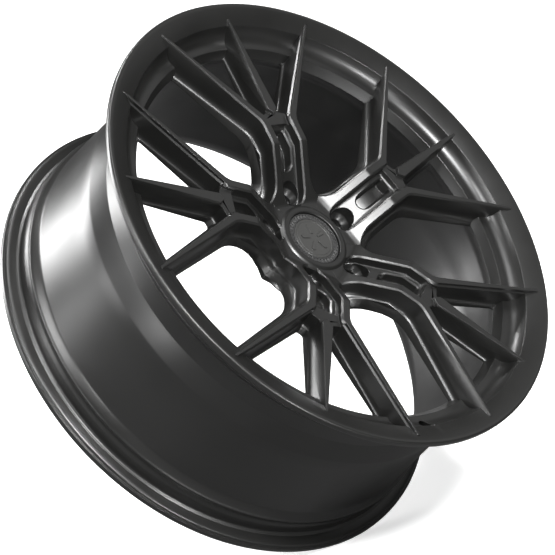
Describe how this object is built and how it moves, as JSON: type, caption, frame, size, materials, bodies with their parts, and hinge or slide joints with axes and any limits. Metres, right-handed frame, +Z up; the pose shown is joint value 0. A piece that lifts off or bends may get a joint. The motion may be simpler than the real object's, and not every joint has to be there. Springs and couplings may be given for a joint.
{
  "type": "forged wheel rim",
  "caption": "One-piece forged racing wheel with five groups of splayed twin and centre spokes, deep barrel and a snap-in centre cap.",
  "frame": {"origin": "on the wheel's axis, half-way between the outer planes of the two rim lips", "axes": "+Y along the axis towards the vehicle, -Y out of the show face, +Z up through the middle of spoke group 1"},
  "size_m": [0.543, 0.237, 0.543],
  "materials": {
    "forging": "satin black",
    "cap_plastic": "satin",
    "cap_plate": "satin",
    "spring_steel": "bright"
  },
  "bodies": {
    "forged_wheel": {"rim_front_flange": "forging", "rim_drop_centre": "forging", "rim_rear_barrel": "forging", "rim_rear_flange": "forging", "hub_core": "forging", "arm_left_1": "forging", "arm_right_1": "forging", "centre_spoke_1": "forging", "channel_web_1": "forging", "lug_boss_1": "forging", "arm_left_2": "forging", "arm_right_2": "forging", "centre_spoke_2": "forging", "channel_web_2": "forging", "lug_boss_2": "forging", "arm_left_3": "forging", "arm_right_3": "forging", "centre_spoke_3": "forging", "channel_web_3": "forging", "lug_boss_3": "forging", "arm_left_4": "forging", "arm_right_4": "forging", "centre_spoke_4": "forging", "channel_web_4": "forging", "lug_boss_4": "forging", "arm_left_5": "forging", "arm_right_5": "forging", "centre_spoke_5": "forging", "channel_web_5": "forging", "lug_boss_5": "forging"},
    "centre_cap": {"centre_cap_body": "cap_plastic", "centre_cap_face": "cap_plate", "cap_spring_ring": "spring_steel"}
  },
  "joints": [
    {"name": "cap_pull", "type": "slide", "parent": "forged_wheel", "child": "centre_cap", "axis": [0, -1, 0], "range_m": [0, 0.03]}
  ]
}
